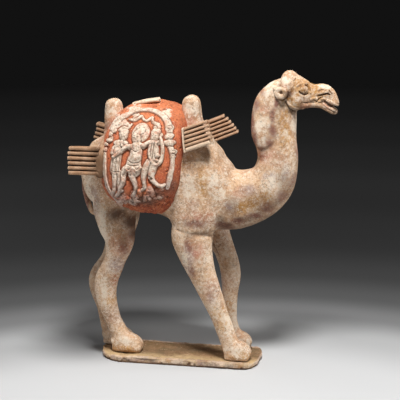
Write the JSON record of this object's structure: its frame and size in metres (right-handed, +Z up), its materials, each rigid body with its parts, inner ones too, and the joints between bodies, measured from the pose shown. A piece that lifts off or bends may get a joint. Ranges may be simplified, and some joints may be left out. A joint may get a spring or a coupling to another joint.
{
  "type": "pack camel sculpture",
  "caption": "Standing Bactrian pack camel on a thin slab, laden with a relief-carved saddle bag and bundled pack boards, in worn painted earthenware.",
  "frame": {"origin": "in the underside of the slab, about its middle, on the camel's middle plane", "axes": "+Z up, +X towards the camel's head, +Y towards its left side; the side in the picture is -Y"},
  "size_m": [0.3687, 0.1707, 0.4186],
  "materials": {
    "fired_clay": "matte low-fired earthenware with worn slip, red and white pigment and earth stains"
  },
  "bodies": {
    "root": {"camel": "fired_clay"}
  },
  "joints": []
}
